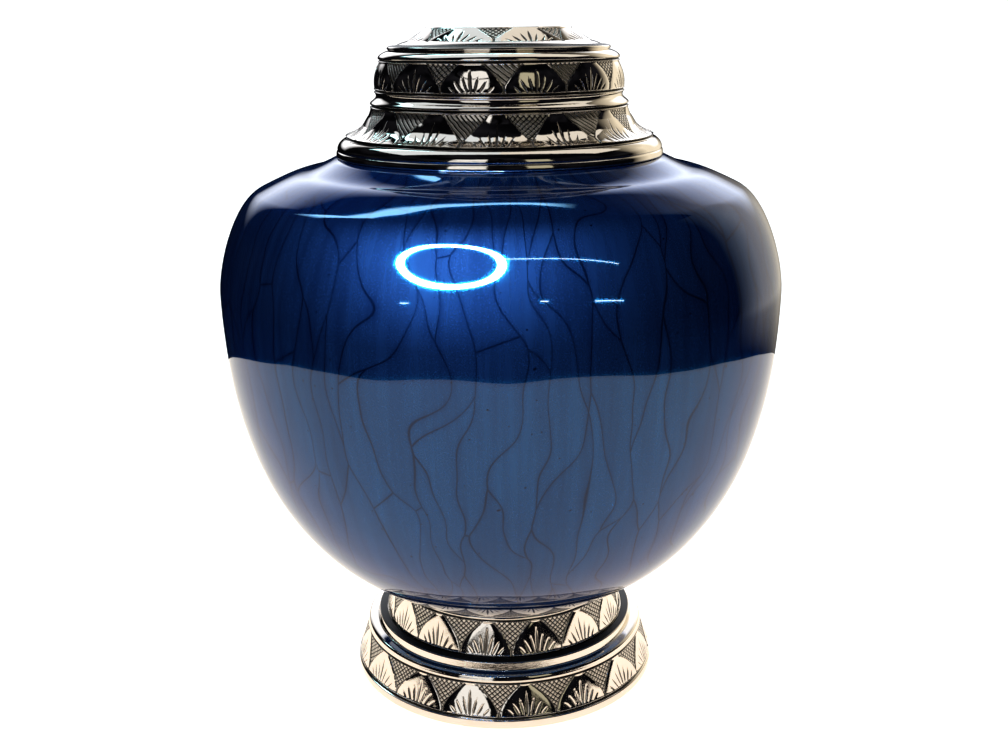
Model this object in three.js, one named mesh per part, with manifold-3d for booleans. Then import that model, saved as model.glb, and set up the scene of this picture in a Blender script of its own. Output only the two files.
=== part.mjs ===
// Covered urn for ashes: a lid, a hollow enamelled body and a flared foot ring, all turned about one axis.
//
// Millimetres, +Z up. The origin is the centre of the foot's underside, on the ground. The front is -Y.
// Heights are stacked from the ground up: the foot carries the body, and the body carries the lid.

import * as THREE from 'three';
import { mergeVertices } from 'three/addons/utils/BufferGeometryUtils.js';
import Module from 'manifold-3d';

// How finely round forms are cut

const BODY_FACETS = 32;
const TRIM_FACETS = 28;
const LOWER_CURVE_STEPS = 8;
const SHOULDER_STEPS = 5;
const NECK_STEPS = 3;
const PETAL_SIDE_STEPS = 2;

// Foot, from the ground up

const footRimRadius = 57.0;
const footRimHeight = 4.0;
const footRimRounding = 0.8;
const footLowerBandHeight = 11.6;
const footLowerBandFootRadius = 56.4;
const footLowerBandTopRadius = 52.9;
const footLowerBeadRadius = 52.5;
const footLowerBeadHeight = 2.8;
const footUpperBeadRadius = 48.6;
const footUpperBeadHeight = 3.2;
const footUpperBandHeight = 12.7;
const footUpperBandFootRadius = 45.2;
const footUpperBandTopRadius = 42.2;
const footCollarHeight = 1.3;
const footCollarRadius = 42.0;
const footSeatWidth = 3.0;
const footWall = 2.2;
const footRimWidth = 5.5;

// Body, from its flat base up

const bodyBaseRadius = 36.0;
const bodyBaseFlare = 13.6;
const bodyBaseFlareAngle = 28.2;
const bodyBellyRadius = 98.6;
const bodyBellyHeight = 114.9;
const bodyBellyCurveBelow = 93.4;
const bodyBellyCurveAbove = 11.4;
const bodyShoulderInset = 14.8;
const bodyShoulderRise = 34.9;
const bodyShoulderSlope = 26.0;
const bodyShoulderCurveOut = 9.5;
const bodyShoulderCurveIn = 21.8;
const bodySeatRise = 10.4;
const bodySeatCurve = 16.9;
const bodySeatSlope = 26.7;
const bodyWall = 1.5;

// Lid, from its rim up

const lidRimRadius = 56.5;
const lidRimHeight = 3.9;
const lidRimLip = 1.5;
const lidBeadRadius = 54.6;
const lidBeadHeight = 2.6;
const lidFlaredBandHeight = 10.4;
const lidFlaredBandFootRadius = 53.1;
const lidFlaredBandTopRadius = 44.4;
const lidFlaredBandHollow = 1.9;
const lidCoveHeight = 5.0;
const lidCoveFootRadius = 44.0;
const lidCoveRadius = 42.3;
const lidUprightBandHeight = 9.9;
const lidUprightBandFootRadius = 42.9;
const lidUprightBandTopRadius = 41.8;
const lidUprightBandBulge = 0.8;
const lidQuarterRoundHeight = 3.1;
const lidQuarterRoundRadius = 41.2;
const lidStepBeadRadius = 38.1;
const lidStepBeadHeight = 1.5;
const lidLedgeRadius = 35.8;
const lidLedgeRise = 1.3;
const lidTopBandHeight = 4.5;
const lidTopBandFootRadius = 31.7;
const lidTopRadius = 24.7;
const lidWall = 2.0;
const lidRimWidth = 5.5;

// Fits and turned grooves

const seatGap = 0.3;
const seatMargin = 0.4;
const neckClearance = 0.6;
const neckWall = 1.6;
const grooveWidth = 0.9;
const grooveDepth = 0.55;
const deepGrooveDepth = 0.9;

// Chased petals: the ground between the petals is cut down, and the petals stay proud of it

const petalDepth = 0.45;
const lidTopPetals = 8;
const lidUprightPetals = 13;
const lidFlaredPetals = 14;
const footUpperPetals = 15;
const footLowerPetals = 17;
const lidTopPetalTurn = -2.8;
const lidUprightPetalTurn = 2.1;
const lidFlaredPetalTurn = 11.7;
const footUpperPetalTurn = 3.3;
const footLowerPetalTurn = -2.3;
const groundFoot = 0.3;
const groundTop = 0.94;
const petalTipShare = 0.16;

// Colours

const enamelBlue = new THREE.MeshStandardMaterial({ color: 0x16306e, roughness: 0.18, metalness: 0.35 });
const polishedPlate = new THREE.MeshStandardMaterial({ color: 0xd6d2ca, roughness: 0.14, metalness: 1 });

const wasm = await Module();
wasm.setup();

// Small helpers for outlines, which run in radius (x) and height (y)

const point = (radius, height) => new THREE.Vector2(radius, height);
const radians = THREE.MathUtils.degToRad;

// A point reached from another by a length along a slope in degrees above the horizontal.
function along(from, length, slope) {
  const angle = radians(slope);
  return point(from.x + length * Math.cos(angle), from.y + length * Math.sin(angle));
}

function curvePoints(start, startHandle, endHandle, end, steps) {
  return new THREE.CubicBezierCurve(start, startHandle, endHandle, end).getPoints(steps);
}

// A bulge or a hollow between two points: a curve that leaves the straight line by `rise` at its middle.
function bowedPoints(start, end, rise, steps) {
  const run = end.clone().sub(start);
  const outward = point(run.y, -run.x).normalize();
  const middle = start.clone().add(end).multiplyScalar(0.5).addScaledVector(outward, 2 * rise);
  return new THREE.QuadraticBezierCurve(start, middle, end).getPoints(steps);
}

// The outline moved inwards by a distance, square to itself. Outlines run upwards, so inwards is to the left.
function insetOutline(outline, distance) {
  return outline.map((here, i) => {
    const before = outline[Math.max(i - 1, 0)];
    const after = outline[Math.min(i + 1, outline.length - 1)];
    const run = after.clone().sub(before).normalize();
    return point(here.x - distance * run.y, here.y + distance * run.x);
  });
}

// The height of an outline that widens all the way up, at a given radius. Inside its start it is flat.
function heightAtRadius(outline, radius) {
  const next = outline.findIndex((here) => here.x >= radius);
  if (next < 1) return outline[0].y;
  const low = outline[next - 1];
  const high = outline[next];
  return low.y + ((radius - low.x) / (high.x - low.x)) * (high.y - low.y);
}

// A turned V-groove at the joint of two forms.
function groove(radius, height, depth = grooveDepth) {
  return [
    point(radius, height - grooveWidth / 2),
    point(radius - depth, height),
    point(radius, height + grooveWidth / 2),
  ];
}

// A half-round bead, by its height above the ground, how tall it is, where it springs from and how far it
// reaches.
function bead(height, tall, springRadius, reach) {
  const shoulder = springRadius + 0.7 * (reach - springRadius);
  return [
    point(shoulder, height + 0.12 * tall),
    point(reach, height + 0.38 * tall),
    point(reach, height + 0.64 * tall),
    point(shoulder, height + 0.9 * tall),
  ];
}

// Solids

function revolve(outline, facets) {
  const geometry = new THREE.LatheGeometry(outline, facets);
  geometry.rotateX(Math.PI / 2);
  return geometry;
}

function toSolid(geometry) {
  const bare = geometry.index ? geometry.toNonIndexed() : geometry.clone();
  bare.deleteAttribute('normal');
  bare.deleteAttribute('uv');
  const merged = mergeVertices(bare, 1e-4);
  const vertProperties = new Float32Array(merged.attributes.position.array);
  const triVerts = new Uint32Array(merged.index.array);
  return new wasm.Manifold(new wasm.Mesh({ numProp: 3, vertProperties, triVerts }));
}

function toGeometry(solid) {
  const mesh = solid.getMesh();
  const geometry = new THREE.BufferGeometry();
  geometry.setAttribute('position', new THREE.BufferAttribute(new Float32Array(mesh.vertProperties), 3));
  geometry.setIndex(new THREE.BufferAttribute(new Uint32Array(mesh.triVerts), 1));
  geometry.computeVertexNormals();
  return geometry;
}

// A ring whose outline closes on itself.
function ring(outline) {
  return toSolid(revolve([...outline, outline[0]], TRIM_FACETS));
}

// The ground between chased petals, as one cutter that follows the band: a thin sleeve on the band, kept only
// where the curved triangles between the petals fall. `turn` is where the first triangle sits, in degrees
// round from the front.
function petalGround(band, petals, turn) {
  const clear = 2;
  const floor = insetOutline(band, petalDepth).reverse();
  const outside = insetOutline(band, -clear);
  const sleeve = ring([...outside, ...floor]);

  const foot = band[0];
  const top = band[band.length - 1];
  const tall = top.y - foot.y;
  const halfPetal = (Math.PI * (foot.x + top.x)) / 2 / petals;
  const side = Array.from({ length: PETAL_SIDE_STEPS + 1 }, (_, k) => {
    const climb = Math.sin((k / PETAL_SIDE_STEPS) * (Math.PI / 2));
    const petalHalfWidth = halfPetal * Math.sqrt(1 - climb * climb * (1 - petalTipShare * petalTipShare));
    const height = foot.y + tall * (groundFoot + (groundTop - groundFoot) * climb);
    return point(halfPetal - petalHalfWidth, height);
  });
  const mirrored = side.slice(1).map((here) => point(-here.x, here.y)).reverse();
  const triangle = new THREE.Shape([...side, ...mirrored]);

  const innermost = Math.min(foot.x, top.x) - 3 * petalDepth - halfPetal;
  const outermost = Math.max(foot.x, top.x) + clear;
  const wedges = Array.from({ length: petals }, (_, k) => {
    const wedge = new THREE.ExtrudeGeometry(triangle, { depth: outermost - innermost, bevelEnabled: false });
    const azimuth = radians(turn + (360 / petals) * k);
    const across = new THREE.Vector3(Math.cos(azimuth), Math.sin(azimuth), 0);
    const up = new THREE.Vector3(0, 0, 1);
    const outward = new THREE.Vector3(Math.sin(azimuth), -Math.cos(azimuth), 0);
    wedge.translate(0, 0, innermost);
    wedge.applyMatrix4(new THREE.Matrix4().makeBasis(across, up, outward));
    return toSolid(wedge);
  });
  const allWedges = wedges.reduce((joined, wedge) => joined.add(wedge));
  return sleeve.intersect(allWedges);
}

// Heights of the foot's mouldings above the ground

const footLowerBandStart = footRimHeight;
const footLowerBeadStart = footLowerBandStart + footLowerBandHeight;
const footUpperBeadStart = footLowerBeadStart + footLowerBeadHeight;
const footUpperBandStart = footUpperBeadStart + footUpperBeadHeight;
const footCollarStart = footUpperBandStart + footUpperBandHeight;
const footTop = footCollarStart + footCollarHeight;

// The body's outline, measured from its base and then lifted until it sits on the foot's collar

const baseEdge = point(bodyBaseRadius, 0);
const belly = point(bodyBellyRadius, bodyBellyHeight);
const shoulder = point(belly.x - bodyShoulderInset, belly.y + bodyShoulderRise);
const seatEdge = point(lidRimRadius + seatMargin, shoulder.y + bodySeatRise);

const underside = curvePoints(
  baseEdge,
  along(baseEdge, bodyBaseFlare, bodyBaseFlareAngle),
  point(belly.x, belly.y - bodyBellyCurveBelow),
  belly,
  LOWER_CURVE_STEPS,
);
const bodyLift = footTop + seatGap - heightAtRadius(underside, footCollarRadius);
const bodyOutline = [
  ...underside,
  ...curvePoints(
    belly,
    point(belly.x, belly.y + bodyBellyCurveAbove),
    along(shoulder, bodyShoulderCurveOut, -bodyShoulderSlope),
    shoulder,
    SHOULDER_STEPS,
  ).slice(1),
  ...curvePoints(
    shoulder,
    along(shoulder, -bodyShoulderCurveIn, -bodyShoulderSlope),
    along(seatEdge, bodySeatCurve, -bodySeatSlope),
    seatEdge,
    NECK_STEPS,
  ).slice(1),
].map((here) => point(here.x, here.y + bodyLift));

const bodyBase = bodyLift;
const bodySeat = bodyBase + seatEdge.y;

// Heights of the lid's mouldings

const lidBase = bodySeat + seatGap;
const lidBeadStart = lidBase + lidRimHeight;
const lidFlaredBandStart = lidBeadStart + lidBeadHeight;
const lidCoveStart = lidFlaredBandStart + lidFlaredBandHeight;
const lidUprightBandStart = lidCoveStart + lidCoveHeight;
const lidQuarterRoundStart = lidUprightBandStart + lidUprightBandHeight;
const lidStepBeadStart = lidQuarterRoundStart + lidQuarterRoundHeight;
const lidLedge = lidStepBeadStart + lidStepBeadHeight;
const lidTopBandStart = lidLedge + lidLedgeRise;
const lidTop = lidTopBandStart + lidTopBandHeight;

// The bands that carry petals, as outlines from foot to top

const lidFlaredBand = bowedPoints(
  point(lidFlaredBandFootRadius, lidFlaredBandStart),
  point(lidFlaredBandTopRadius, lidCoveStart),
  -lidFlaredBandHollow,
  2,
);
const lidUprightBand = bowedPoints(
  point(lidUprightBandFootRadius, lidUprightBandStart),
  point(lidUprightBandTopRadius, lidQuarterRoundStart),
  lidUprightBandBulge,
  2,
);
const lidTopBand = [
  point(lidTopBandFootRadius, lidTopBandStart),
  point(lidTopRadius, lidTop),
];
const footLowerBand = [
  point(footLowerBandFootRadius, footLowerBandStart),
  point(footLowerBandTopRadius, footLowerBeadStart),
];
const footUpperBand = [
  point(footUpperBandFootRadius, footUpperBandStart),
  point(footUpperBandTopRadius, footCollarStart),
];

// The neck stands up inside the lid's throat, as high as the deep groove.
const neckRadius = lidFlaredBandTopRadius - lidWall - neckClearance;
const neckTop = lidCoveStart;

function makeFoot() {
  const seatInnerRadius = footCollarRadius - footSeatWidth;
  const seatHeight = (radius) => heightAtRadius(bodyOutline, radius) - seatGap;
  const outside = [
    point(footRimRadius - footRimWidth, 0),
    point(footRimRadius - footRimRounding, 0),
    point(footRimRadius, footRimRounding),
    point(footRimRadius, footRimHeight - footRimRounding),
    ...groove(footLowerBandFootRadius, footLowerBandStart),
    ...groove(footLowerBandTopRadius, footLowerBeadStart),
    ...bead(footLowerBeadStart, footLowerBeadHeight, footUpperBeadRadius, footLowerBeadRadius).slice(1),
    ...bead(footUpperBeadStart, footUpperBeadHeight, footUpperBandFootRadius, footUpperBeadRadius),
    ...groove(footUpperBandFootRadius, footUpperBandStart),
    ...groove(footUpperBandTopRadius, footCollarStart),
    point(footCollarRadius, seatHeight(footCollarRadius)),
    point(seatInnerRadius, seatHeight(seatInnerRadius)),
  ];
  const hollow = insetOutline(
    [
      point(footRimRadius - footRimWidth + footWall, footLowerBandStart),
      point(footLowerBandTopRadius, footLowerBeadStart),
      point(footUpperBandFootRadius, footUpperBandStart),
      point(footUpperBandTopRadius, footCollarStart),
    ],
    footWall,
  ).reverse();
  return ring([...outside, ...hollow])
    .subtract(petalGround(footLowerBand, footLowerPetals, footLowerPetalTurn))
    .subtract(petalGround(footUpperBand, footUpperPetals, footUpperPetalTurn));
}

function makeBody() {
  const everySecond = insetOutline(bodyOutline, bodyWall).filter((_, i) => i % 2 === 0);
  const mouthRadius = neckRadius - neckWall;
  const outline = [
    point(0, bodyBase),
    ...bodyOutline,
    point(neckRadius, bodySeat),
    point(neckRadius, neckTop),
    point(mouthRadius, neckTop),
    point(mouthRadius, bodySeat - bodyWall),
    ...everySecond.reverse(),
    point(0, bodyBase + bodyWall),
  ];
  return toSolid(revolve(outline, BODY_FACETS));
}

function makeLid() {
  const rimShoulder = (lidRimRadius + lidBeadRadius) / 2;
  const quarterRoundMiddle = point(
    lidQuarterRoundRadius - 0.3 * lidQuarterRoundHeight,
    lidQuarterRoundStart + 0.65 * lidQuarterRoundHeight,
  );
  const outside = [
    point(lidRimRadius, lidBase),
    point(lidRimRadius, lidBase + lidRimLip),
    point(rimShoulder, (lidBase + lidRimLip + lidBeadStart) / 2),
    point(lidFlaredBandFootRadius + grooveDepth, lidBeadStart),
    ...bead(lidBeadStart, lidBeadHeight, lidFlaredBandFootRadius, lidBeadRadius).slice(1, 3),
    ...groove(lidFlaredBandFootRadius, lidFlaredBandStart),
    ...lidFlaredBand.slice(1, -1),
    ...groove(lidFlaredBandTopRadius, lidCoveStart, deepGrooveDepth),
    point(lidCoveFootRadius, lidCoveStart + 0.25 * lidCoveHeight),
    point(lidCoveRadius, lidCoveStart + 0.6 * lidCoveHeight),
    ...groove(lidUprightBandFootRadius, lidUprightBandStart),
    ...lidUprightBand.slice(1, -1),
    ...groove(lidQuarterRoundRadius, lidQuarterRoundStart),
    quarterRoundMiddle,
    point(lidStepBeadRadius, lidStepBeadStart - grooveWidth / 4),
    point(lidStepBeadRadius - grooveDepth, lidStepBeadStart),
    ...bead(lidStepBeadStart, lidStepBeadHeight, lidLedgeRadius, lidStepBeadRadius).slice(1),
    point(lidLedgeRadius + grooveWidth / 2, lidLedge),
    point(lidLedgeRadius, lidLedge - grooveDepth),
    point(lidLedgeRadius - grooveWidth / 2, lidLedge),
    ...lidTopBand,
    point(0, lidTop),
  ];
  const plain = [
    point(lidFlaredBandFootRadius, lidBeadStart),
    ...lidFlaredBand,
    point(lidUprightBandTopRadius, lidQuarterRoundStart),
    point(lidLedgeRadius, lidLedge),
    point(lidTopRadius, lidTop),
  ];
  const inside = insetOutline(plain, lidWall);
  const outline = [
    point(0, lidTop - lidWall),
    ...inside.reverse(),
    point(lidRimRadius - lidRimWidth, lidBase),
    ...outside,
  ];
  return toSolid(revolve(outline, TRIM_FACETS))
    .subtract(petalGround(lidFlaredBand, lidFlaredPetals, lidFlaredPetalTurn))
    .subtract(petalGround(lidUprightBand, lidUprightPetals, lidUprightPetalTurn))
    .subtract(petalGround(lidTopBand, lidTopPetals, lidTopPetalTurn));
}

function namedMesh(name, solid, material) {
  const mesh = new THREE.Mesh(toGeometry(solid), material);
  mesh.name = name;
  return mesh;
}

const urn = new THREE.Group();
urn.add(namedMesh('foot', makeFoot(), polishedPlate));
urn.add(namedMesh('body', makeBody(), enamelBlue));
urn.add(namedMesh('lid', makeLid(), polishedPlate));

export default urn;
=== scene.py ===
# %% [markdown]
# # A covered urn for ashes
#
# The urn is turned in brass: a foot ring and a lid with a bright plate finish and chased bands of
# petals, and a round body under deep blue pearl enamel. The packed model gives the heights at which
# the pieces start and end, and the other sizes are chosen to match it. This lesson dresses it: each
# turned piece is revolved again, finely enough to carry the chasing as real cuts, and every surface
# gets its finish.

# %% Load the frame
import math

import bpy
import numpy as np
from mathutils import Matrix, Vector


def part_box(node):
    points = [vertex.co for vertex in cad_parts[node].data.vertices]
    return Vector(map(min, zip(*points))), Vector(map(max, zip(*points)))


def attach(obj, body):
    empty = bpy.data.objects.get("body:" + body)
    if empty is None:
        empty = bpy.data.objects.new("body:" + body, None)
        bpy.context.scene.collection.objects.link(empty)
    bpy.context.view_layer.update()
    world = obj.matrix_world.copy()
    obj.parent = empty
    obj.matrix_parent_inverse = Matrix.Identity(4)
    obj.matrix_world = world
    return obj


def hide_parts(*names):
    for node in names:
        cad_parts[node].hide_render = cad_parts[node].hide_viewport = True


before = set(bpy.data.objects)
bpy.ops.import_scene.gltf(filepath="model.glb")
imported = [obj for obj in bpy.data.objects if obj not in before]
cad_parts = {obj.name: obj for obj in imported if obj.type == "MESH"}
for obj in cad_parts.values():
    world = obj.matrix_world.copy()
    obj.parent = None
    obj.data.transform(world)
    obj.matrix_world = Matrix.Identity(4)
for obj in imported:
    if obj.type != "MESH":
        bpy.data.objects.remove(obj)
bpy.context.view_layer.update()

MM = 0.001
lid_base, lid_top = (corner.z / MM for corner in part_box("lid"))
body_base, neck_top = (corner.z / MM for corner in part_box("body"))
foot_base, foot_top = (corner.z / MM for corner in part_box("foot"))
print("the foot runs from", round(foot_base, 2), "to", round(foot_top, 2), "mm")
print("the body runs from", round(body_base, 2), "to", round(neck_top, 2), "mm")
print("the lid runs from", round(lid_base, 2), "to", round(lid_top, 2), "mm")

# %% [markdown]
# ## The camera
#
# A camera could be framed by eye. This one is placed by sizes instead: the turned rings of lid and
# foot look like ellipses whose flatness gives how far down the camera looks, and their spacing
# gives how far away it stands. It is level with the lid's top, and the picture is turned by half a
# degree.

# %% Camera
CAMERA_DISTANCE = 415
CAMERA_ASIDE = 0.75
CAMERA_HEIGHT = 235.7
CAMERA_DOWN = 16.667
PICTURE_TURN = 0.54

camera_data = bpy.data.cameras.new("camera")
camera_data.lens = 41.9
camera_data.sensor_width = 36
camera_data.clip_start = 0.01
camera = bpy.data.objects.new("camera", camera_data)
tilt = Matrix.Rotation(math.radians(90 - CAMERA_DOWN), 4, "X")
turn = Matrix.Rotation(math.radians(-PICTURE_TURN), 4, "Z")
place = Matrix.Translation(Vector((CAMERA_ASIDE, -CAMERA_DISTANCE, CAMERA_HEIGHT)) * MM)
camera.matrix_world = place @ tilt @ turn
bpy.context.scene.collection.objects.link(camera)
bpy.context.scene.camera = camera
print("camera at", [round(c, 3) for c in camera.location])

# %% [markdown]
# ## Arithmetic on surfaces
#
# Node graphs are hard to read when they are wired one link at a time. A small class wraps a socket
# and gives it the usual operators, so that a pattern is written as a plain expression and its Math
# nodes appear by themselves.

# %% Shader arithmetic: a value


class Value:
    """A number or colour that varies over a surface: one output of a shader node."""

    def __init__(self, finish, socket):
        self.finish = finish
        self.socket = socket

    def maths(self, operation, *others, clamp=False):
        given = dict(enumerate((self,) + others))
        return self.finish.node("ShaderNodeMath", {"operation": operation, "use_clamp": clamp}, given)

    def __add__(self, other):
        return self.maths("ADD", other)

    def __sub__(self, other):
        return self.maths("SUBTRACT", other)

    def __mul__(self, other):
        return self.maths("MULTIPLY", other)

    def __truediv__(self, other):
        return self.maths("DIVIDE", other)

    def __gt__(self, other):
        return self.maths("GREATER_THAN", other)

    def __neg__(self):
        return self * -1.0

    def __rsub__(self, other):
        return (-self) + other

    def __rtruediv__(self, other):
        return self.maths("POWER", -1.0) * other

    __radd__ = __add__
    __rmul__ = __mul__


reflected = [word for word in vars(Value) if word.startswith("__r")]
print("a value also answers to", reflected)

# %% Shader arithmetic: a finish


class Finish:
    """The nodes of a material or of the world."""

    def __init__(self, owner):
        owner.use_nodes = True
        self.tree = owner.node_tree
        self.tree.nodes.clear()

    def node(self, kind, settings=None, sockets=None, output=0):
        made = self.tree.nodes.new(kind)
        for name, setting in (settings or {}).items():
            setattr(made, name, setting)
        for name, given in (sockets or {}).items():
            if isinstance(given, Value):
                self.tree.links.new(given.socket, made.inputs[name])
            else:
                made.inputs[name].default_value = given
        return Value(self, made.outputs[output]) if made.outputs else None

    def other(self, value, output):
        """Another output of the node that a value comes from."""
        return Value(self, value.socket.node.outputs[output])

    def point(self, x, y, z):
        """Three numbers as one place."""
        return self.node("ShaderNodeCombineXYZ", None, {0: x, 1: y, 2: z})

    def noise(self, where, scale, detail=2.0, roughness=0.5):
        """Soft patches, from 0 to 1."""
        sockets = {"Vector": where, "Scale": scale, "Detail": detail, "Roughness": roughness}
        return self.node("ShaderNodeTexNoise", None, sockets)

    def blend(self, share, first, second):
        """A colour between two, by a share."""
        settings = {"data_type": "RGBA"}
        return self.node("ShaderNodeMix", settings, {0: share, 6: first, 7: second}, 2)

    def bump(self, height, distance, strength=1.0, normal=None):
        """A surface that looks raised by a height, on top of another bump if one is given."""
        sockets = {"Height": height, "Distance": distance, "Strength": strength}
        if normal is not None:
            sockets["Normal"] = normal
        return self.node("ShaderNodeBump", None, sockets)


# %% [markdown]
# ## One drawing for mesh and colour
#
# The petals are chased: punches and gravers sink the ground between them and cut a fan of veins
# into each, and the cuts are then filled with black. The drawing is needed twice, to lower the mesh
# and to blacken the cuts, and both must agree to a tenth of a millimetre. So it is written once, in
# arithmetic that works on arrays of numbers and on shader values alike. These few operations have
# no operator of their own.

# %% Operations for both kinds of number


def operate(name, plain, value, *others):
    """A Math node for a shader value, and the plain function for numbers."""
    if isinstance(value, Value):
        return value.maths(name, *others)
    return plain(value, *others)


def absolute(value):
    return operate("ABSOLUTE", np.abs, value)


def root(value):
    return operate("SQRT", np.sqrt, value)


def sine(value):
    return operate("SINE", np.sin, value)


def whole(value):
    return operate("FLOOR", np.floor, value)


def smaller(value, other):
    return operate("MINIMUM", np.minimum, value, other)


def larger(value, other):
    return operate("MAXIMUM", np.maximum, value, other)


def clip(value):
    if isinstance(value, Value):
        return value.maths("ADD", 0.0, clamp=True)
    return np.clip(value, 0, 1)


def soft(distance, edge):
    """1 well inside, 0 well outside, with an edge of that width around distance 0."""
    return clip(distance * (1 / edge) + 0.5)


print("a soft edge 0.2 wide runs", [float(soft(distance, 0.2)) for distance in (-0.1, 0.0, 0.1)])

# %% [markdown]
# ## The bands of petals
#
# Five bands carry petals: three on the lid and two on the foot. Each is told by its lower and upper
# edge, how many petals go round it, and where one gap between petals stands, in degrees from the
# front. Three shares give the petals' shape: how high the trunk between them reaches, how broad the
# tip is, and how straight the sides are.

# %% Where the bands are


class Band:
    """A band of petals between two edges, each a radius and a height in mm."""

    def __init__(self, foot, top, petals, turn, trunk, tip, straight):
        self.foot, self.top = foot, top
        self.trunk, self.tip, self.straight = trunk, tip, straight
        self.run = (top[0] - foot[0], top[1] - foot[1])
        self.tall = math.hypot(*self.run)
        self.petals, self.turn = petals, turn
        self.half = math.pi * (foot[0] + top[0]) / 2 / petals

    def rise(self, radius, height):
        """How far up the band a point is: 0 at its lower edge and 1 at its upper one."""
        along_radius = (radius - self.foot[0]) * (self.run[0] / self.tall ** 2)
        return along_radius + (height - self.foot[1]) * (self.run[1] / self.tall ** 2)


FOOT_LOWER = Band((56.4, 4.0), (52.9, 15.6), 17, -2.3, 0.12, 0.19, 0.3)
FOOT_UPPER = Band((45.2, 21.6), (42.2, 34.3), 15, 3.3, 0.15, 0.19, 0.3)
flared_start = lid_base + 6.5
LID_FLARED = Band((53.1, flared_start), (44.4, flared_start + 10.4), 14, 11.7, 0.28, 0.28, 0.8)
upright_start = flared_start + 15.4
LID_UPRIGHT = Band((42.9, upright_start), (41.8, upright_start + 9.9), 13, 2.1, 0.27, 0.40, 0.7)
LID_TOP = Band((31.7, lid_top - 4.5), (24.7, lid_top), 8, -2.8, 0.25, 0.48, 0.7)
BANDS = [FOOT_LOWER, FOOT_UPPER, LID_FLARED, LID_UPRIGHT, LID_TOP]
print("petals", [(band.petals, round(2 * band.half, 1)) for band in BANDS])

# %% [markdown]
# ## The drawing of a petal
#
# A petal is a hill: it touches its neighbours along a short trunk at the foot, and a triangle of
# sunk ground fills the gap above. On the lid its sides are nearly straight and its tip is broad,
# and on the foot they are rounder. A straight middle vein and three pairs fan out from its foot,
# each a stroke that swells and runs out. The work is done by hand, so every petal leans a little by
# its own amount.

# %% Draw a petal
GROUND_TOP = 0.96
LEAN = 0.09
VEINS = [
    ((0.00, 0.05), (0.00, 0.80), 0.46),
    ((0.11, 0.05), (0.27, 0.60), 0.34),
    ((0.27, 0.06), (0.52, 0.45), 0.34),
    ((0.48, 0.06), (0.72, 0.27), 0.26),
]


def petals_round(angle, petals, turn):
    """How many petals round a place is. The angle is in radians from the front, the turn in degrees."""
    return angle * petals * (1 / (2 * math.pi)) - petals * turn * (1 / 360) + petals * 2.0


def petal_place(cells):
    """Across a petal from -1 to 1, and the petal's number."""
    number = whole(cells)
    return (cells - number) * 2.0 - 1.0, number


def stroke(side, up, foot, tip, breadth, half, tall):
    """A cut between two points of the petal, widest a little before its middle."""
    run_side, run_up = half * (tip[0] - foot[0]), tall * (tip[1] - foot[1])
    from_side, from_up = side - half * foot[0], up - tall * foot[1]
    share = clip((from_side * run_side + from_up * run_up) / (run_side * run_side + run_up * run_up))
    off_side = from_side - run_side * share
    off_up = from_up - run_up * share
    off = root(off_side * off_side + off_up * off_up)
    width = (share + 0.12) * (1.0 - share) * (breadth * 3.2)
    return width - off


def draw(across, number, rise, half, tall, trunk, tip, straight):
    """How far, in mm, a point is inside the ground, inside a vein, and from the petal's edge."""
    lean = sine(number * 2.3) * LEAN
    across = across + lean * rise * (1.0 - absolute(across))
    climb = clip((rise - trunk) / (GROUND_TOP - trunk))
    width = 1.0 - (1.0 - tip) * climb * (straight + (1.0 - straight) * climb)
    outside = (absolute(across) - width * 0.985) * half
    ground = smaller(outside, (GROUND_TOP - rise) * tall)
    side, up = absolute(across) * half, rise * tall
    veins = None
    for low_end, high_end, breadth in VEINS:
        cut = stroke(side, up, low_end, high_end, breadth, half, tall)
        veins = cut if veins is None else larger(veins, cut)
    return ground, veins, outside


print("a petal has", 2 * len(VEINS) - 1, "veins")

# %% [markdown]
# ## Outlines
#
# A turned piece is wholly told by its outline: radius against height, from one end round to the
# other. Long soft lines and round mouldings are Bezier curves, and a turned groove is a small V
# with rounded lips.

# %% Outline helpers


def bezier(start, start_handle, end_handle, end, steps):
    """Points along a cubic curve in radius and height."""
    t = np.linspace(0, 1, steps + 1)[:, None]
    weights = [(1 - t) ** 3, 3 * t * (1 - t) ** 2, 3 * t * t * (1 - t), t ** 3]
    points = (start, start_handle, end_handle, end)
    return sum(w * np.array(p, float) for w, p in zip(weights, points))


def line(start, end, steps=1):
    """Points along a straight line."""
    t = np.linspace(0, 1, steps + 1)[:, None]
    return (1 - t) * np.array(start, float) + t * np.array(end, float)


def bow(start, end, rise, steps):
    """A curve between two points that stands off the straight line by rise at its middle."""
    start, end = np.array(start, float), np.array(end, float)
    run = end - start
    lift = np.array([run[1], -run[0]]) / np.hypot(*run) * rise * 4 / 3
    return bezier(start, start + run / 3 + lift, end - run / 3 + lift, end, steps)


def along(start, length, slope):
    """The point at a length from another, on a slope in degrees above the horizontal."""
    angle = math.radians(slope)
    return (start[0] + length * math.cos(angle), start[1] + length * math.sin(angle))


GROOVE_WIDTH = 0.9
LIP = 0.12


def groove(radius, height, depth=0.55):
    """A turned V with slightly rounded lips, from its lower lip to its upper one."""
    half = GROOVE_WIDTH / 2
    return np.array([
        (radius, height - half - LIP),
        (radius - 0.3 * LIP, height - half),
        (radius - 0.8 * depth, height - 0.2 * half),
        (radius - depth, height),
        (radius - 0.8 * depth, height + 0.2 * half),
        (radius - 0.3 * LIP, height + half),
        (radius, height + half + LIP),
    ])


def inset(outline, distance):
    """The outline moved into the metal, square to itself."""
    runs = np.gradient(outline, axis=0)
    runs /= np.hypot(runs[:, 0], runs[:, 1])[:, None]
    return outline - distance * np.stack([runs[:, 1], -runs[:, 0]], axis=1)


print("a groove takes", len(groove(50, 10)), "points and", round(GROOVE_WIDTH + 2 * LIP, 2), "mm of height")

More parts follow.
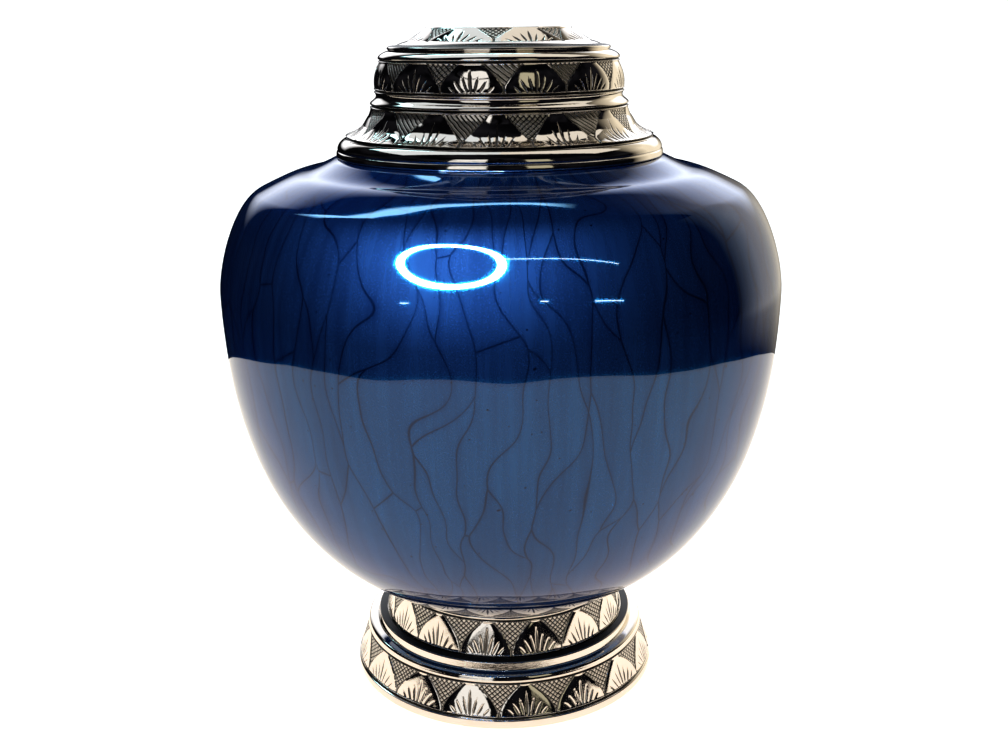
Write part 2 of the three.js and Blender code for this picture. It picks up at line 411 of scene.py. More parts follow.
# %% [markdown]
# ## Turning the pieces
#
# Blender's Screw modifier could spin an outline, but then every ring has as many points as the
# finest one. Here each stretch of outline says how many columns it needs, unequal rings are sewn
# together by small fans, and the rings in a petal band are lowered by the drawing. The result is
# one closed skin for each piece.

# %% Rings of points
PLAIN_COLUMNS = 168
GROUND_DEPTH = 0.45
VEIN_DEPTH = 0.30
PETAL_CROWN = 0.10
PETAL_TILT = 0.16
CROWN_REACH = 2.5
VEIN_SLOPE = 0.4


def depth_of(angles, rise, band):
    """How deep the chasing is, in mm, round one ring of a band."""
    across, number = petal_place(petals_round(angles, band.petals, band.turn))
    shape = (band.trunk, band.tip, band.straight)
    ground, veins, outside = draw(across, number, rise, band.half, band.tall, *shape)
    inside = clip(soft(GROUND_TOP - rise, 0.06) * soft(rise - 0.03, 0.04))
    fall = clip(1 + outside * (1 / CROWN_REACH)) ** 2 * PETAL_CROWN
    tilt_up = np.sin(number * 4.1 + band.petals) * (rise - 0.5)
    tilt_aside = np.sin(number * 2.9) * across * 0.7
    tilt = (1 + tilt_up + tilt_aside) * PETAL_TILT
    cut = clip(veins * (1 / VEIN_SLOPE)) * VEIN_DEPTH
    return np.where(ground > 0, 0, fall + tilt + cut) * inside + soft(ground, 0.25) * GROUND_DEPTH


def rings_of(outline, columns=PLAIN_COLUMNS, band=None, ripple=None):
    """The rings of one stretch of outline, in mm. They run round from the front, towards the right."""
    angles = np.arange(columns) * 2 * math.pi / columns
    runs = np.gradient(outline, axis=0)
    runs /= np.hypot(runs[:, 0], runs[:, 1])[:, None]
    rings = []
    for (radius, height), run in zip(outline, runs):
        depth = np.zeros(columns)
        if band is not None:
            round_front = np.where(angles > math.pi, angles - 2 * math.pi, angles)
            depth = depth_of(round_front, band.rise(radius, height), band)
        if ripple is not None:
            depth = ripple(angles, height)
        radii = radius - depth * run[1]
        heights = height + depth * run[0]
        rings.append(np.stack([radii * np.sin(angles), -radii * np.cos(angles), heights], axis=1))
    return rings


def pole(height):
    """The single point where a piece meets its own axis."""
    return [np.array([[0.0, 0.0, height]])]


print("a plain ring has", PLAIN_COLUMNS, "points")

# %% Faces and pieces


def join_rings(low, high):
    """Faces between two rings of point numbers. The longer one has a whole multiple of the other's."""
    few, many = len(low), len(high)
    if few > many:
        return [tuple(reversed(face)) for face in join_rings(high, low)]
    if few == 1:
        return [(low[0], high[(k + 1) % many], high[k]) for k in range(many)]
    share = many // few
    if share == 1:
        return [(low[k], low[(k + 1) % few], high[(k + 1) % few], high[k]) for k in range(few)]
    faces = []
    for k in range(few):
        fan = [high[(k * share + j) % many] for j in range(share + 1)]
        faces += [(low[k], b, a) for a, b in zip(fan, fan[1:])]
        faces.append((low[k], low[(k + 1) % few], fan[-1]))
    return faces


def make_piece(name, rings, material, node, closed=False):
    """A turned piece that stands for a node of the frame. A closed one's last ring meets its first."""
    starts = np.cumsum([0] + [len(ring) for ring in rings])
    numbers = [list(range(start, end)) for start, end in zip(starts, starts[1:])]
    pairs = list(zip(numbers, numbers[1:]))
    if closed:
        pairs.append((numbers[-1], numbers[0]))
    faces = [face for low, high in pairs for face in join_rings(low, high)]
    mesh = bpy.data.meshes.new(name)
    mesh.from_pydata((np.concatenate(rings) * MM).tolist(), [], faces)
    mesh.shade_smooth()
    mesh.materials.append(material)
    piece = bpy.data.objects.new(name, mesh)
    bpy.context.scene.collection.objects.link(piece)
    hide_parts(node)
    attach(piece, "root")
    mesh.calc_loop_triangles()
    print(name, "has", len(mesh.loop_triangles), "triangles")
    return piece


# %% [markdown]
# ## The enamel
#
# The enamel is a dark blue pearl: flakes in it glint and give a broad, soft glow where light falls,
# and a thick clear coat on top mirrors the room. While it was wet it ran down, and the flakes drew
# together along dark wavering veins that close in long scales. Two metals stand for the flakes, one
# nearly a mirror for those that lie flat and one rough for the rest, mixed under a clear coat. One
# metal alone gives either the soft glow or the crisp edge of the floor's reflection, and the real
# one shows both.

# %% Enamel: where on the body
enamel_material = bpy.data.materials.new("blue_pearl_enamel")
enamel = Finish(enamel_material)
position = enamel.node("ShaderNodeTexCoord", None, None, "Object")
apart = enamel.node("ShaderNodeSeparateXYZ", None, {0: position})
x, y, z = apart, enamel.other(apart, 1), enamel.other(apart, 2)
radius = root(x * x + y * y)

BELLY_RADIUS = 98.6
BELLY_HEIGHT = body_base + 114.9
run_in = (BELLY_RADIUS * MM - radius) * (1 / MM)
above = z * (1 / MM) - BELLY_HEIGHT
side_sign = (above > 0.0) * 2.0 - 1.0
drop = (above + side_sign * run_in) * (1 / 100)
spin_x, spin_y = x / (radius + 1e-5), y / (radius + 1e-5)
print("the belly is", BELLY_RADIUS, "mm from the axis and", round(BELLY_HEIGHT, 1), "mm up")

# %% [markdown]
# The veins are the edges of tall, narrow cells round the body. A cell pattern stretched to about
# five times its breadth stretches its edges too, so the veins that run round would come out that
# much broader than those that run down. So the pattern is looked up a second time, a little higher:
# where the distance to the edge changes fast between the two, the vein runs round, and it is
# thinned to match. One more vein hides the seam at the back, where the angle jumps.

# %% Enamel: veins
SWAY = 0.42
VEIN_BREADTH = (0.004, 0.026)
VEIN_EDGE = 0.022
SHADE_REACH = 0.20
round_about = enamel.point(spin_x * 2.6, spin_y * 2.6, drop * 2.2)
wander = enamel.noise(round_about, 1.0, 1.0, 0.4)
sway = (wander - 0.5) * SWAY
turned_x = spin_x - spin_y * sway
turned_y = spin_y + spin_x * sway
angle = turned_x.maths("ARCTAN2", -turned_y)
SCALES_ROUND = 9.0
SCALES_UP = 1.7
STEP_UP = 0.004
scale_height = drop * SCALES_UP + (wander - 0.5) * 0.25
flat = {"feature": "DISTANCE_TO_EDGE", "voronoi_dimensions": "2D"}
here = enamel.point(angle * SCALES_ROUND, scale_height, 0.0)
scales = {"Vector": here, "Scale": 1.0, "Randomness": 0.9}
edge_distance = enamel.node("ShaderNodeTexVoronoi", flat, scales)
higher = dict(scales, Vector=enamel.point(angle * SCALES_ROUND, scale_height + STEP_UP, 0.0))
steepness = (enamel.node("ShaderNodeTexVoronoi", flat, higher) - edge_distance) * (1 / STEP_UP)
edge_distance = edge_distance / root(1.04 - clip(steepness * steepness))
cell_tone = enamel.node("ShaderNodeTexVoronoi", {"voronoi_dimensions": "2D"}, scales, 1)
cell_value = enamel.node("ShaderNodeSeparateColor", None, {0: cell_tone})
seam = (math.pi - absolute(angle)) * SCALES_ROUND
edge_distance = smaller(edge_distance, seam)
thickness = VEIN_BREADTH[0] + VEIN_BREADTH[1] * wander
vein = soft(thickness - edge_distance, VEIN_EDGE)
# Painted shade: the enamel is painted darker close to each vein.
painted_vein_shade = clip((SHADE_REACH - edge_distance) * (1 / SHADE_REACH))
print("about", round(2 * math.pi * SCALES_ROUND), "scales stand round the body")

# %% Enamel: streaks and flakes
streaks = enamel.noise(enamel.point(spin_x * 22.0, spin_y * 22.0, drop * 1.3), 1.0, 3.0, 0.6)
in_mm = enamel.node("ShaderNodeVectorMath", {"operation": "SCALE"}, {0: position, "Scale": 1 / MM})
flakes = enamel.noise(in_mm, 2.6, 1.0, 0.5)
glint = clip((flakes - 0.60) * 6.0)
specks = clip((enamel.noise(in_mm, 0.75, 0.0) - 0.83) * 30.0)

# %% Enamel: colour and gloss
FLAT_SHARE = 0.35
share = 0.5 + (streaks - 0.5) * 0.8 + (cell_value - 0.5) * 0.2
# The painted shade beside the veins lowers the share here.
share = clip(share - painted_vein_shade * painted_vein_shade * 0.2 + glint * 0.4)
line_share = larger(vein * 0.80, specks)
flat_blue = enamel.blend(share, (0.002, 0.050, 0.17, 1), (0.008, 0.170, 0.42, 1))
flat_blue = enamel.blend(line_share, flat_blue, (0.0005, 0.012, 0.060, 1))
deep_blue = enamel.blend(share, (0.002, 0.009, 0.048, 1), (0.013, 0.050, 0.18, 1))
deep_blue = enamel.blend(line_share, deep_blue, (0.0005, 0.003, 0.016, 1))
grain = enamel.bump(flakes, 0.000015, 0.4)


def pearl(blue, roughness):
    """The enamel with flakes that lie flat, or less so."""
    return enamel.node("ShaderNodeBsdfPrincipled", None, {
        "Base Color": blue,
        "Metallic": 1.0,
        "Roughness": roughness,
        "Specular Tint": (0.30, 0.40, 0.60, 1),
        "Normal": grain,
        "Coat Weight": 1.0,
        "Coat Roughness": 0.012,
        "Coat IOR": 1.5,
    })


deep_flakes = pearl(deep_blue, 0.54)
flat_flakes = pearl(flat_blue, 0.06)
surface = enamel.node("ShaderNodeMixShader", None, {0: FLAT_SHARE, 1: deep_flakes, 2: flat_flakes})
enamel.node("ShaderNodeOutputMaterial", None, {"Surface": surface})
print("enamel has", len(enamel.tree.nodes), "nodes")

# %% [markdown]
# ## The bright plate
#
# Nickel plate is a slightly warm mirror. It is blackened in its chased cuts: in the veins, and in
# the two sets of fine lines that cross the sunk ground and leave small bright diamonds. The black in
# the turned grooves is painted shade. In some gaps of the lid's lower two bands the lines run one way
# only. The same drawing as for the mesh says where. One finish serves all five bands: height picks
# the band.

# %% Plate: where on the band
plate_material = bpy.data.materials.new("bright_plate")
plate = Finish(plate_material)
position = plate.node("ShaderNodeTexCoord", None, None, "Object")
in_mm = plate.node("ShaderNodeVectorMath", {"operation": "SCALE"}, {0: position, "Scale": 1 / MM})
apart = plate.node("ShaderNodeSeparateXYZ", None, {0: in_mm})
x, y, z = apart, plate.other(apart, 1), plate.other(apart, 2)
radius = root(x * x + y * y)
angle = x.maths("ARCTAN2", -y)

steps = [z > (low.top[1] + high.foot[1]) / 2 for low, high in zip(BANDS, BANDS[1:])]


def for_band(read):
    """A number that each band has its own of, picked by height."""
    numbers = [read(band) for band in BANDS]
    picked = steps[0] * (numbers[1] - numbers[0]) + numbers[0]
    for step, low, high in zip(steps[1:], numbers[1:], numbers[2:]):
        picked = picked + step * (high - low)
    return picked


half, tall = for_band(lambda b: b.half), for_band(lambda b: b.tall)
rise = (radius - for_band(lambda b: b.foot[0])) * for_band(lambda b: b.run[0] / b.tall ** 2)
rise = rise + (z - for_band(lambda b: b.foot[1])) * for_band(lambda b: b.run[1] / b.tall ** 2)
cells = petals_round(angle, for_band(lambda b: b.petals), for_band(lambda b: b.turn))
across, number = petal_place(cells)
gap_number = whole(cells + 0.5)
on_band = soft(rise - 0.03, 0.02) * soft(0.97 - rise, 0.02)
print("height picks one of", len(BANDS), "bands")

# %% Plate: cuts and black
hand = plate.noise(in_mm, 0.35, 2.0)
shape = [for_band(lambda b: b.trunk), for_band(lambda b: b.tip), for_band(lambda b: b.straight)]
ground, veins, outside = draw(across, number, rise, half, tall, *shape)
ground_mask = soft(ground + (hand - 0.5) * 0.3, 0.2) * on_band
vein_mask = soft(veins - 0.12, 0.2) * on_band * (1.0 - ground_mask)
edge_mask = soft(0.20 - absolute(outside + (hand - 0.5) * 0.25), 0.14)
edge_mask = edge_mask * on_band * soft(GROUND_TOP - rise, 0.03)

# %% Plate: crossed lines on the ground
HATCH = 1.7
up_mm = rise * tall
from_gap = (cells - gap_number) * 2.0 * half
slant = sine(gap_number * 1.9) * 0.12
hatch_a = absolute(sine((from_gap * (0.88 + slant) + up_mm + hand * 0.8) * (math.pi / HATCH)))
hatch_b = absolute(sine((from_gap * (0.88 - slant) - up_mm + hand * 0.8) * (math.pi / HATCH)))
can_be_plain = for_band(lambda b: 1.0 if b in (LID_FLARED, LID_UPRIGHT) else 0.0)
one_way = can_be_plain * (sine(gap_number * 2.2) > 0.1)
hatch = smaller(hatch_a, hatch_b + one_way)
hatch_cut = clip((0.52 - hatch) * 6.0) * ground_mask
print("the lines are", HATCH, "mm apart")

# %% Plate: painted shade in the turned grooves
GROOVE_SHADE_HALF = 0.34
groove_heights = [height for band in BANDS[:4] for height in (band.foot[1], band.top[1])]
groove_heights.append(upright_start + 14.5)
# Painted shade: each turned groove is painted black across its width.
groove_shade = None
for height in groove_heights:
    one_groove_shade = soft(GROOVE_SHADE_HALF - absolute(z - height), 0.12)
    groove_shade = one_groove_shade if groove_shade is None else larger(groove_shade, one_groove_shade)

# The black joins the filled cuts with the painted shade in the turned grooves.
black = larger(larger(hatch_cut, vein_mask * 0.8), larger(edge_mask * 0.7, groove_shade))
print("black lies in", len(groove_heights), "turned grooves")

# %% Plate: finish
wear = plate.noise(in_mm, 0.12, 3.0)
brushing = plate.noise(plate.point(x * 0.4, y * 0.4, z * 9.0), 1.0, 2.0)
silver = plate.blend(clip((wear - 0.35) * 2.0), (0.87, 0.81, 0.73, 1), (0.93, 0.88, 0.81, 1))
colour = plate.blend(black, silver, (0.006, 0.006, 0.006, 1))
polish = 0.05 + (wear - 0.5) * 0.06 + (brushing - 0.5) * 0.03
rough = polish + larger(black * 0.35, ground_mask * 0.30)
cut_depth = 1.0 + clip(hatch * 1.4) * ground_mask - vein_mask * 0.8 - edge_mask * 0.4
cut_bump = plate.bump(cut_depth, 0.00022, 0.9)
fine_bump = plate.bump(wear + brushing * 0.15, 0.00008, 0.25, cut_bump)
surface = plate.node("ShaderNodeBsdfPrincipled", None, {
    "Base Color": colour,
    "Metallic": 1.0 - black * 0.75,
    "Roughness": rough,
    "Normal": fine_bump,
})
plate.node("ShaderNodeOutputMaterial", None, {"Surface": surface})
print("plate has", len(plate.tree.nodes), "nodes")

# %% [markdown]
# ## The body
#
# A spun shell with the look of a rising bubble: a small base hidden in the foot's collar, a wide
# belly, high shoulders and a straight neck inside the lid. It is hollow, so the outline goes up the
# outside, over the neck and down the inside.

# %% Body
BODY_COLUMNS = 288
LOWER_STEPS = 84
BODY_WALL = 1.5
NECK_RADIUS = 41.8
NECK_WALL = 1.6

base_edge = (36.0, body_base)
belly = (BELLY_RADIUS, BELLY_HEIGHT)
shoulder = (belly[0] - 14.8, belly[1] + 34.9)
seat = (56.9, shoulder[1] + 10.4)
body_outside = np.concatenate([
    bezier(base_edge, along(base_edge, 13.6, 28.2), (belly[0], belly[1] - 93.4), belly, LOWER_STEPS),
    bezier(belly, (belly[0], belly[1] + 11.4), along(shoulder, 9.5, -26.0), shoulder, 34)[1:],
    bezier(shoulder, along(shoulder, -21.8, -26.0), along(seat, 16.9, -26.7), seat, 24)[1:],
])
MOUTH_RADIUS = NECK_RADIUS - NECK_WALL
neck = np.array([
    (NECK_RADIUS + 0.6, seat[1]),
    (NECK_RADIUS, seat[1] + 0.6),
    (NECK_RADIUS, neck_top - 0.5),
    (NECK_RADIUS - 0.5, neck_top),
    (MOUTH_RADIUS + 0.5, neck_top),
    (MOUTH_RADIUS, neck_top - 0.5),
    (MOUTH_RADIUS, seat[1] - BODY_WALL + 0.4),
    (MOUTH_RADIUS + 0.6, seat[1] - BODY_WALL),
])
body_inside = inset(body_outside, BODY_WALL)[::-3]


def orange_peel(angles, height):
    """How far the enamel dips, in mm, where it flowed before it set. It never stands proud."""
    broad = np.sin(7 * angles + 1.4 * np.sin(3 * angles) + height / 9.0)
    broad = broad * np.sin(height / 13.0 + 2 * np.sin(2 * angles))
    small = np.sin(19 * angles + height / 4.1) * np.sin(11 * angles - height / 3.3)
    fade = min(1.0, (BELLY_HEIGHT + 46 - height) / 8.0, (height - body_base) / 8.0)
    return (0.075 + 0.055 * broad + 0.018 * small) * max(fade, 0.0)


body_rings = (
    pole(body_base)
    + rings_of(body_outside, BODY_COLUMNS, ripple=orange_peel)
    + rings_of(neck, BODY_COLUMNS)
    + rings_of(body_inside, BODY_COLUMNS)
    + pole(body_base + BODY_WALL)
)
body_shell = make_piece("enamelled_body", body_rings, enamel_material, "body")

# %% [markdown]
# ## The foot
#
# A flared ring in two steps. From the ground: a plain lip, a wide band of petals, two steps in with
# rounded edges and slightly conical sides, a narrower band of petals, and a thin collar just under
# the body. It is open underneath.

# %% Foot
FOOT_COLUMNS = 1008
BAND_ROWS = 32


def between(start_groove, end_groove):
    """The straight run from the upper lip of one groove to the lower lip of the next."""
    return tuple(start_groove[-1]), tuple(end_groove[0])


body_lower = body_outside[:LOWER_STEPS + 1]


def body_height_at(radius):
    """How high the underside of the body is at a radius."""
    return float(np.interp(radius, body_lower[:, 0], body_lower[:, 1]))


SEAT_GAP = 0.3
groove_lip = groove(FOOT_LOWER.foot[0], FOOT_LOWER.foot[1])
groove_lower = groove(FOOT_LOWER.top[0], FOOT_LOWER.top[1])
groove_upper = groove(FOOT_UPPER.foot[0], FOOT_UPPER.foot[1])
groove_collar = groove(FOOT_UPPER.top[0], FOOT_UPPER.top[1], 0.45)
rim = np.concatenate([
    line((51.5, 0), (56.2, 0), 2),
    bezier((56.2, 0), (56.75, 0), (57.0, 0.25), (57.0, 0.7), 5)[1:],
    line((57.0, 0.7), (57.0, 2.9), 3)[1:],
    bezier((57.0, 2.9), (57.0, 3.2), (56.9, 3.3), (56.6, 3.36), 4)[1:],
])
beads = np.concatenate([
    line(groove_lower[-1], (52.55, 17.3), 2)[1:],
    bezier((52.55, 17.3), (52.45, 17.9), (52.0, 18.25), (51.0, 18.3), 7)[1:],
    bezier((49.4, 18.4), (49.0, 18.42), (48.85, 18.55), (48.8, 18.8), 4),
    bezier((48.45, 20.9), (48.4, 21.2), (48.1, 21.35), (47.4, 21.42), 6),
    np.array([(46.0, 21.5), (45.5, 21.7)]),
])
lower_band = line(*between(groove_lip, groove_lower), BAND_ROWS)
upper_band = line(*between(groove_upper, groove_collar), BAND_ROWS)
collar = np.array([
    (42.0, foot_top - 0.12),
    (41.85, body_height_at(41.85) - SEAT_GAP),
    (39.0, body_height_at(39.0) - SEAT_GAP),
])
foot_inside = np.array([(40.0, 33.2), (43.0, 21.7), (50.5, 15.5), (51.5, 4.4)])
foot_rings = (
    rings_of(rim) + rings_of(groove_lip)
    + rings_of(lower_band, FOOT_COLUMNS, FOOT_LOWER)
    + rings_of(groove_lower) + rings_of(beads) + rings_of(groove_upper)
    + rings_of(upper_band, FOOT_COLUMNS, FOOT_UPPER)
    + rings_of(groove_collar) + rings_of(collar) + rings_of(foot_inside)
)
foot_ring = make_piece("foot_ring", foot_rings, plate_material, "foot", closed=True)

# %% [markdown]
# ## The lid
#
# A stepped dome that lifts off. From its rim: a rounded lip, a fine turned line, a bead that rolls
# in, a flared band of petals that sweeps in to a deep groove, a plain cove, an upright band, a
# quarter round with a small bead, and a sloping band of petals round the flat top. The inside runs
# in a few plain steps and doesn't follow the outside closely, so the wall is uneven. One fault is
# left in it: behind the hollow of the flared band, the inside stands up to half a millimetre
# outside the band. More points there, bowed like the band, would mend it.

# %% Lid: heights and grooves
LID_COLUMNS = 840
bead_start = lid_base + 3.9
cove_start = LID_FLARED.top[1]
quarter_start = LID_UPRIGHT.top[1]
step_start = quarter_start + 3.1
ledge = step_start + 1.5

line_height = lid_base + 2.15
groove_flared = groove(LID_FLARED.foot[0], LID_FLARED.foot[1])
groove_deep = groove(LID_FLARED.top[0], LID_FLARED.top[1], 0.9)
groove_upright = groove(LID_UPRIGHT.foot[0], LID_UPRIGHT.foot[1])
groove_quarter = groove(41.2, quarter_start)
print("the lid is", round(lid_top - lid_base, 1), "mm high")

# %% Lid: outlines


def curve_up(base, points, steps):
    """A curve through a start, two handles and an end, with heights counted from a base."""
    return bezier(*[(radius, base + height) for radius, height in points], steps)


lid_rim = np.concatenate([
    line((51.0, lid_base), (56.0, lid_base), 2),
    curve_up(lid_base, [(56.0, 0.0), (56.4, 0.0), (56.5, 0.2), (56.5, 0.6)], 4)[1:],
    curve_up(lid_base, [(56.5, 0.6), (56.5, 1.2), (56.45, 1.8), (56.15, 2.05)], 7)[1:],
    np.array([(55.85, line_height), (55.95, line_height + 0.15)]),
    curve_up(line_height, [(56.1, 0.25), (56.2, 1.3), (55.4, 2.9), (53.5, 3.8)], 10)[1:],
])
flared_band = bow(*between(groove_flared, groove_deep), -1.9, 38)
cove = np.concatenate([
    bezier(
        groove_deep[-1], (44.6, cove_start + 1.2),
        (42.5, cove_start + 2.0), (42.3, cove_start + 3.0), 8,
    )[1:],
    bezier(
        (42.3, cove_start + 3.0), (42.2, cove_start + 3.7),
        (42.6, cove_start + 4.2), groove_upright[0], 5,
    )[1:-1],
])
upright_band = bow(*between(groove_upright, groove_quarter), 0.7, 27)
quarter_round = np.concatenate([
    bezier(
        groove_quarter[-1], (41.3, quarter_start + 1.2),
        (40.3, quarter_start + 2.2), (38.0, step_start - 0.15), 8,
    )[1:],
    np.array([(37.5, step_start - 0.05), (37.55, step_start + 0.05)]),
    bezier((37.6, step_start + 0.1), (38.4, step_start + 0.3), (38.2, ledge - 0.1), (36.6, ledge), 7)[1:],
    np.array([(36.2, ledge - 0.1), (35.9, ledge - 0.5), (35.7, ledge - 0.5), (35.4, ledge - 0.05)]),
    bow((35.2, ledge), LID_TOP.foot, 0.12, 6)[1:-1],
])
top_band = line(LID_TOP.foot, LID_TOP.top, 22)
top_face = np.array([(24.4, lid_top - 0.02), (24.0, lid_top), (16.0, lid_top), (8.0, lid_top)])

# %% Lid: the piece
LID_ROOF = 2.0
lid_inside = np.array([
    (24.4, lid_top - LID_ROOF),
    (35.0, lid_top - 7.9),
    (39.8, quarter_start),
    (42.4, cove_start),
    (45.6, cove_start - 4.0),
    (51.1, bead_start),
])
lid_rings = (
    pole(lid_top - LID_ROOF) + rings_of(lid_inside) + rings_of(lid_rim) + rings_of(groove_flared)
    + rings_of(flared_band, LID_COLUMNS, LID_FLARED)
    + rings_of(groove_deep) + rings_of(cove) + rings_of(groove_upright)
    + rings_of(upright_band, LID_COLUMNS, LID_UPRIGHT)
    + rings_of(groove_quarter) + rings_of(quarter_round)
    + rings_of(top_band, LID_COLUMNS, LID_TOP)
    + rings_of(top_face) + pole(lid_top)
)
lid_dome = make_piece("lid_dome", lid_rings, plate_material, "lid")

# %% [markdown]
# ## Floor
#
# The urn stands on a plain pale top, and needs two of them here. The camera sees a wide white one,
# which casts no light and shows in no mirror. The urn mirrors a round cream one that the camera
# doesn't see. That one is small, because its far edge is what draws the line between the pale lower
# half of the enamel and the dark upper half.

# %% Floor
FLOOR_RADIUS = 470


def floor_finish(name, low, high, strength):
    """A pale, faintly mottled top that also gives some light of its own."""
    material = bpy.data.materials.new(name)
    finish = Finish(material)
    grain = finish.noise(finish.node("ShaderNodeTexCoord", None, None, "Object"), 9.0, 3.0)
    tint = finish.blend(grain, low, high)
    surface = finish.node("ShaderNodeBsdfPrincipled", None, {
        "Base Color": tint, "Roughness": 0.8, "Emission Color": tint, "Emission Strength": strength,
    })
    finish.node("ShaderNodeOutputMaterial", None, {"Surface": surface})
    return material


def stage_mesh(name, points, faces, material):
    """A mesh of the studio, in mm."""
    mesh = bpy.data.meshes.new(name)
    mesh.from_pydata([tuple(c * MM for c in point) for point in points], [], faces)
    mesh.materials.append(material)
    thing = bpy.data.objects.new(name, mesh)
    bpy.context.scene.collection.objects.link(thing)
    return thing


def circle(radius, height, steps):
    """Points round a level circle."""
    turns = [2 * math.pi * k / steps for k in range(steps)]
    return [(radius * math.cos(t), radius * math.sin(t), height) for t in turns]


def camera_only(thing):
    """The thing is seen past the urn, but not in it."""
    thing.visible_diffuse = False
    thing.visible_glossy = False
    thing.visible_transmission = False
    thing.visible_shadow = False


DISC_STEPS = 128
whole_disc = [tuple(range(DISC_STEPS))]
white_top = floor_finish("white_floor", (0.93, 0.93, 0.93, 1), (0.97, 0.97, 0.97, 1), 0.95)
cream_top = floor_finish("cream_floor", (0.92, 0.80, 0.68, 1), (0.96, 0.84, 0.72, 1), 0.95)
seen_floor = stage_mesh("floor", circle(FLOOR_RADIUS * 4, -0.1, DISC_STEPS), whole_disc, white_top)
camera_only(seen_floor)
cream_disc = circle(FLOOR_RADIUS, -0.2, DISC_STEPS)
mirrored_floor = stage_mesh("mirrored_floor", cream_disc, whole_disc, cream_top)
mirrored_floor.visible_camera = False
print("the mirrored floor is", 2 * FLOOR_RADIUS, "mm across")

# %% [markdown]
# ## Light
#
# Polished metal and gloss enamel show the room more than themselves, so the room is made for them.
# It is dark in front. Behind and above, a bright sky lights the crown of the body, with a window
# strip at its edge, and there is a warm pale wall behind to the right. What the camera sees past
# the urn is a white surround that is not mirrored.

# %% Room
world = bpy.data.worlds.new("room")
bpy.context.scene.world = world
room = Finish(world)
direction = room.node("ShaderNodeTexCoord", None, None, "Generated")
apart = room.node("ShaderNodeSeparateXYZ", None, {0: direction})
east, north, up = apart, room.other(apart, 1), room.other(apart, 2)
patches = room.noise(direction, 2.2, 2.0)
dark = room.blend(clip((patches - 0.45) * 3.0), (0.002, 0.002, 0.003, 1), (0.016, 0.016, 0.020, 1))
wall = clip((north - 0.25) * 3.0) * clip((east - 0.20) * 4.0)
wall = wall * clip((up + 0.3) * 8.0) * clip((0.75 - up) * 3.0)
dark = room.blend(wall, dark, (0.85, 0.76, 0.60, 1))
sky = clip((north - 0.74) * 5.0) * clip((up - 0.10) * 8.0)
dark = room.blend(sky, dark, (2.0, 2.05, 2.2, 1))
window = clip((north - 0.48) * 60.0) * clip((0.62 - north) * 60.0) * clip((east + 0.57) * 12.0)
window = window * clip((0.18 - east) * 12.0) * clip((up - 0.3) * 10.0)
light = room.blend(window, dark, (3.0, 5.2, 5.8, 1))
lit = room.node("ShaderNodeBackground", None, {"Color": light, "Strength": 1.0})
room.node("ShaderNodeOutputWorld", None, {"Surface": lit})
print("room has", len(room.tree.nodes), "nodes")

# %% Surround


def glowing(name, colour, strength):
    """A finish that only gives light."""
    material = bpy.data.materials.new(name)
    finish = Finish(material)
    light = finish.node("ShaderNodeEmission", None, {"Color": colour, "Strength": strength})
    finish.node("ShaderNodeOutputMaterial", None, {"Surface": light})
    return material


SURROUND_RADIUS = 6000
SURROUND_STEPS = 48
WHITE = (1, 1, 1, 1)
surround_points = []
for slope in range(-85, 86, 10):
    level = math.radians(slope)
    ring_radius = SURROUND_RADIUS * math.cos(level)
    surround_points += circle(ring_radius, SURROUND_RADIUS * math.sin(level), SURROUND_STEPS)
surround_faces = []
for start in range(0, len(surround_points) - SURROUND_STEPS, SURROUND_STEPS):
    above_start = start + SURROUND_STEPS
    for k in range(SURROUND_STEPS):
        after = (k + 1) % SURROUND_STEPS
        surround_faces.append((start + k, start + after, above_start + after, above_start + k))
last_ring = range(len(surround_points) - SURROUND_STEPS, len(surround_points))
surround_faces += [tuple(range(SURROUND_STEPS)), tuple(last_ring)]
white_glow = glowing("white_surround", WHITE, 1.05)
surround = stage_mesh("surround", surround_points, surround_faces, white_glow)
camera_only(surround)
print("the surround has", len(surround_faces), "faces")

# %% [markdown]
# ## Lamps
#
# A ring lamp in front makes the round highlight and the glow in the flakes, and three tubes far off
# make the thin lines. The body and the plate can't be lit well by one set: the cards that fill the
# plate would show in the enamel too. Light linking keeps them apart. The ring and the tubes light
# the body only, and two cards overhead and two in front light only the lid and the foot.

# %% Ring lamp and tubes


def aimed(thing, where, aim):
    """Puts a lamp at a place, facing another. Both are in mm."""
    start, end = Vector(where) * MM, Vector(aim) * MM
    facing = (end - start).to_track_quat("-Z", "Y").to_matrix().to_4x4()
    thing.matrix_world = Matrix.Translation(start) @ facing
    thing.visible_camera = False
    thing.visible_diffuse = False


def lights_only(lamp, pieces):
    """The lamp shines on these pieces and is mirrored in them alone."""
    group = bpy.data.collections.new(lamp.name + "_on")
    for piece in pieces:
        group.objects.link(piece)
    lamp.light_linking.receiver_collection = group


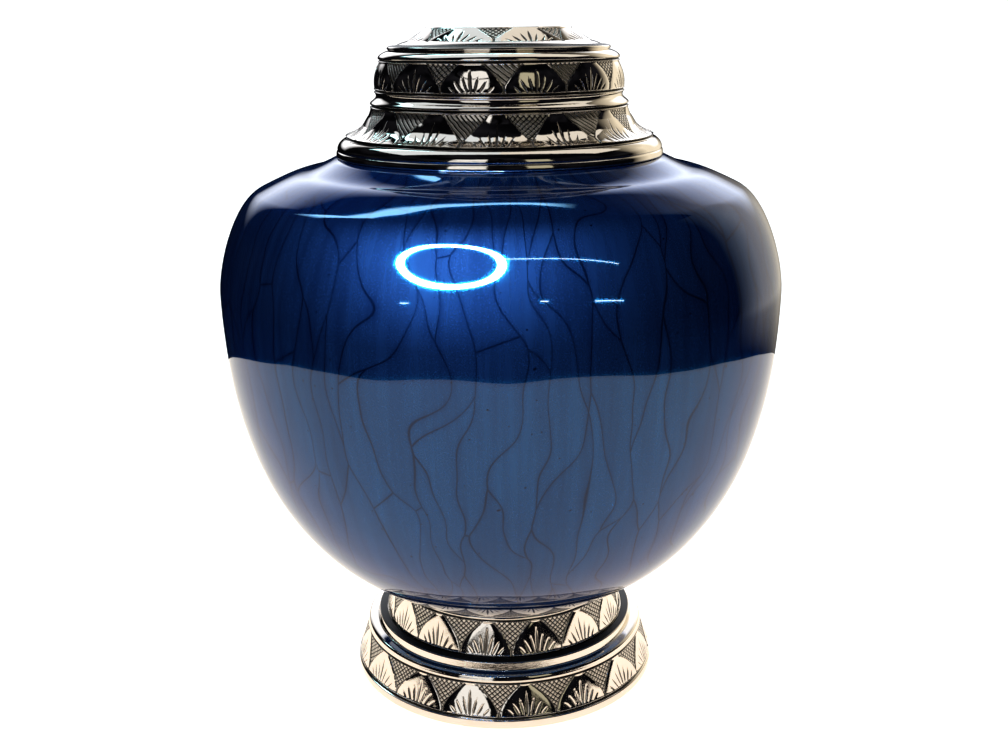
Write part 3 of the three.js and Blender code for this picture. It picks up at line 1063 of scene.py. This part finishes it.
def ring_lamp(name, where, aim, radius, width, tall_share, strength):
    """A flat glowing ring that lights the body."""
    steps = 72
    points = circle(radius, 0, steps) + circle(radius - width, 0, steps)
    points = [(a, b * tall_share, c) for a, b, c in points]
    faces = [(k, (k + 1) % steps, steps + (k + 1) % steps, steps + k) for k in range(steps)]
    lamp = stage_mesh(name, points, faces, glowing(name, (0.95, 0.98, 1, 1), strength))
    aimed(lamp, where, aim)
    lights_only(lamp, [body_shell])


def card(name, where, aim, size, colour, strength, pieces):
    """A flat glowing card that lights some of the pieces."""
    wide, tall = size[0] / 2, size[1] / 2
    corners = [(-wide, -tall, 0), (wide, -tall, 0), (wide, tall, 0), (-wide, tall, 0)]
    lamp = stage_mesh(name, corners, [(0, 1, 2, 3)], glowing(name, colour, strength))
    aimed(lamp, where, aim)
    lights_only(lamp, pieces)


HIGHLIGHT = (-14, -91, 172)
ring_place = (-190, -510, 563)
ring_lamp("ring_lamp", ring_place, HIGHLIGHT, radius=235, width=40, tall_share=0.80, strength=110)

TUBE_DISTANCE = 2090
TUBE_WIDTH = 24
TUBE_STRENGTH = 22
TUBES = [
    ("tube_high", 1330, 2200, 2600),
    ("tube_low_left", -1030, 890, 1250),
    ("tube_low_right", 1420, 850, 1700),
]
for tube, aside, height, length in TUBES:
    tube_place = (aside, -TUBE_DISTANCE, height)
    tube_aim = (aside, HIGHLIGHT[1], HIGHLIGHT[2])
    card(tube, tube_place, tube_aim, (length, TUBE_WIDTH), WHITE, TUBE_STRENGTH, [body_shell])
print("the body is lit by a ring and", len(TUBES), "tubes")

# %% Cards for the plate
plated = [lid_dome, foot_ring]
CEILING_SIZE = (1800, 1250)
COOL = (0.86, 0.93, 1.0, 1)
WARM = (1.0, 0.94, 0.85, 1)
CREAM = (1.0, 0.94, 0.70, 1)
card("ceiling_left", (-900, 620, 2000), (-900, 620, 0), CEILING_SIZE, COOL, 0.78, plated)
card("ceiling_right", (900, 620, 2000), (900, 620, 0), CEILING_SIZE, WARM, 0.72, plated)
card("front_white", (-850, -2000, 980), (-850, 0, 980), (1050, 1840), WHITE, 0.85, plated)
card("front_cream", (1050, -2000, 900), (1050, 0, 900), (760, 1500), CREAM, 0.42, plated)
print("cards light", [piece.name for piece in plated])

# %% Tone of the picture
bpy.context.scene.view_settings.view_transform = "Standard"
bpy.context.scene.view_settings.look = "Medium High Contrast"
